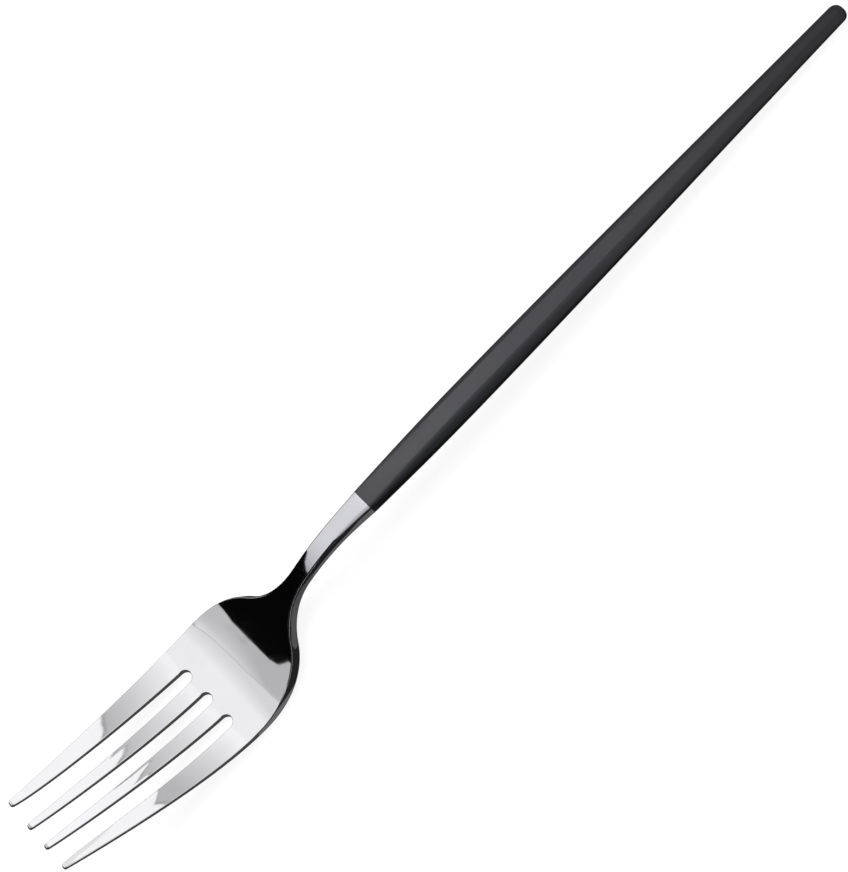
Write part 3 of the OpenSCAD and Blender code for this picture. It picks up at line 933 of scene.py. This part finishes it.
def studio_cards():
    """Each card's name, corners and light. On the floor the higher of two hides the other."""
    far = CARD_REACH
    near_foot = [wall_foot(ROOT_D * i / FOOT_STEPS) for i in range(FOOT_STEPS)]
    neck_floor = near_foot + [NECK_FLOOR_CORNER, (near_foot[0][0], NECK_FLOOR_CORNER[1])]
    return [
        # Over the whole fork, for bowl and tines
        ("tine_fade", over_fork(beside(0, TINE_EDGE)), "tine_fade_grey"),
        ("tine_glow", over_fork(beside(far, TINE_EDGE)), "white_card"),
        ("tine_seam", over_fork(seam(TINE_EDGE), SEAM_DROP), "seam_grey"),
        ("bowl_fade", over_fork(beside(0, SEAM_EDGE)), "bowl_fade_grey"),
        ("bowl_seam", over_fork(seam(SEAM_EDGE), SEAM_DROP), "faint_seam_grey"),
        ("throat_fade", over_fork(SEAM_EDGE + THROAT_EDGE[::-1]), "throat_fade_grey"),
        ("throat_dark", over_fork(beside(-far, THROAT_EDGE)), "black_card"),
        ("front_dark", over_fork(FRONT_EDGE, FRONT_DROP), "dark_card"),
        # Over the neck
        ("neck_fade", level(-35, -20.4, -80, 2.5, NECK_CARD_HEIGHT), "neck_fade_grey"),
        ("neck_end", [(x, y, NECK_CARD_HEIGHT) for x, y in NECK_END], "black_card"),
        # Upright, at the far ends of the room
        ("side_dark", upright((-far, -far), (-far, far), 0, CARD_HEIGHT), "black_card"),
        ("end_dark", upright((-far, -far), (-150, -far), 0, CARD_HEIGHT), "dark_card"),
        # Over the handle
        ("joint_glow", level(-15, 15, -12, 95, GRIP_CARD_HEIGHT), "joint_sheen"),
        ("joint_edge", level(-15, 15, -105, -12, GRIP_CARD_HEIGHT), "joint_edge_sheen"),
        ("belly_glow", level(15, 75, -12, 95, GRIP_CARD_HEIGHT), "belly_sheen"),
        ("belly_edge", level(15, 75, -105, -12, GRIP_CARD_HEIGHT), "belly_edge_sheen"),
        ("grip_glow", level(75, 400, -12, 95, GRIP_CARD_HEIGHT), "grip_sheen"),
        ("grip_edge", level(75, 400, -105, -12, GRIP_CARD_HEIGHT), "grip_edge_sheen"),
        ("grip_dark", level(-15, 400, 95, 500, GRIP_CARD_HEIGHT), "dark_card"),
        # Blinds, which keep the white world and the cards over the handle out of the edges
        ("fade_blind", upright((-35.5, -85), (-35.5, -8), 10, NECK_CARD_HEIGHT), "dark_card"),
        ("neck_blind", [(NECK_BLIND_X, y, z) for y, z in NECK_BLIND], "black_card"),
        ("shoulder_blind", upright((-56, -60), (40, -60), 8, 66), "dark_card"),
        # On the floor, for the walls and the undersides: painted shade, dark and grey sheets that
        # only the steel and the sheen mirror, in place of the shade on the floor round the fork
        ("grip_floor", level(-20, 130, 18, 150, 0.1), "dark_card"),
        ("front_floor", level(-200, 130, -150, 18, 0.05), "dark_card"),
        ("back_floor", level(-130, 130, 18, 120, 0.05), "back_floor_shade"),
        ("tine_floor", level(-130, -64, -18, 18, 0.1), "tine_floor_shade"),
        ("shoulder_floor", level(-55, -37, 5, 60, 0.2), "dark_card"),
        ("flare_floor", [(x, y, 0.16) for x, y in FLARE_FLOOR], "flare_floor_shade"),
        ("neck_floor", [(x, y, 0.15) for x, y in neck_floor], "neck_floor_shade"),
    ]


def make_studio():
    sides = [(-1, -1), (1, -1), (1, 1), (-1, 1)]
    corners = [(x * FLOOR_HALF, y * FLOOR_HALF, 0) for x, y in sides]
    floor = mesh_object("floor", corners, [(0, 1, 2, 3)])
    floor.data.materials.append(pale_board())

    paints = {name: card_paint(name, *light) for name, light in CARD_LIGHTS.items()}
    for name, card_corners, light in studio_cards():
        stand_card(name, card_corners, paints[light])

    world = bpy.data.worlds.new("studio")
    bpy.context.scene.world = world
    world.use_nodes = True
    tree = world.node_tree
    tree.nodes.clear()
    path = add(tree, "ShaderNodeLightPath", {}).outputs
    mirrored = ("MAXIMUM", path["Is Glossy Ray"], path["Is Transmission Ray"])
    seen = ("MAXIMUM", path["Is Camera Ray"], mirrored)
    sky = add(tree, "ShaderNodeBackground", {
        "Color": srgb("#FFFFFF"), "Strength": ("MULTIPLY_ADD", seen, 1 - SKY_LEVEL, SKY_LEVEL)})
    add(tree, "ShaderNodeOutputWorld", {"Surface": sky.outputs[0]})


def hang_lamp():
    """A lamp behind cloth, aimed at the middle of the fork. Its own shape isn't mirrored,
    because the cards give the steel what it shows."""
    light = bpy.data.lights.new("key_box", "AREA")
    light.shape = "RECTANGLE"
    light.size = LAMP_SIZE * MM
    light.size_y = LAMP_SIZE * MM
    light.energy = LAMP_POWER
    made = bpy.data.objects.new("key_box", light)
    made.location = Vector(LAMP_PLACE) * MM
    made.rotation_euler = (-made.location).to_track_quat("-Z", "Y").to_euler()
    made.visible_glossy = False
    bpy.context.collection.objects.link(made)


def make_camera():
    """The photograph's view: its height, its turn and its distance, fitted to the outline."""
    elevation = math.radians(VIEW_ELEVATION)
    roll = math.radians(VIEW_ROLL)
    ahead = Vector((0, math.cos(elevation), -math.sin(elevation)))
    over = Vector((0, math.sin(elevation), math.cos(elevation)))
    along = Vector((1, 0, 0))
    right = math.cos(roll) * along - math.sin(roll) * over
    up = math.sin(roll) * along + math.cos(roll) * over
    place = TO_ROW @ (Vector(VIEW_TARGET) - VIEW_DISTANCE * ahead)
    turn = REST_TURN.to_3x3() @ Matrix((right, up, -ahead)).transposed()
    lens = bpy.data.cameras.new("camera")
    lens.lens = VIEW_LENS
    made = bpy.data.objects.new("camera", lens)
    made.matrix_world = Matrix.Translation(place * MM) @ turn.to_4x4()
    bpy.context.collection.objects.link(made)
    bpy.context.scene.camera = made


steel = polished_steel()
resin = satin_resin()
epoxy = cured_epoxy()

head = make_head(steel)
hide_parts("fork_head")
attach(head, "root")

handle = make_handle(resin)
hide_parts("handle")
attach(handle, "root")

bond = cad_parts["bond"]
bond.data.materials.clear()
bond.data.materials.append(epoxy)

make_studio()
make_camera()
hang_lamp()

scene = bpy.context.scene
scene.view_settings.view_transform = "Standard"
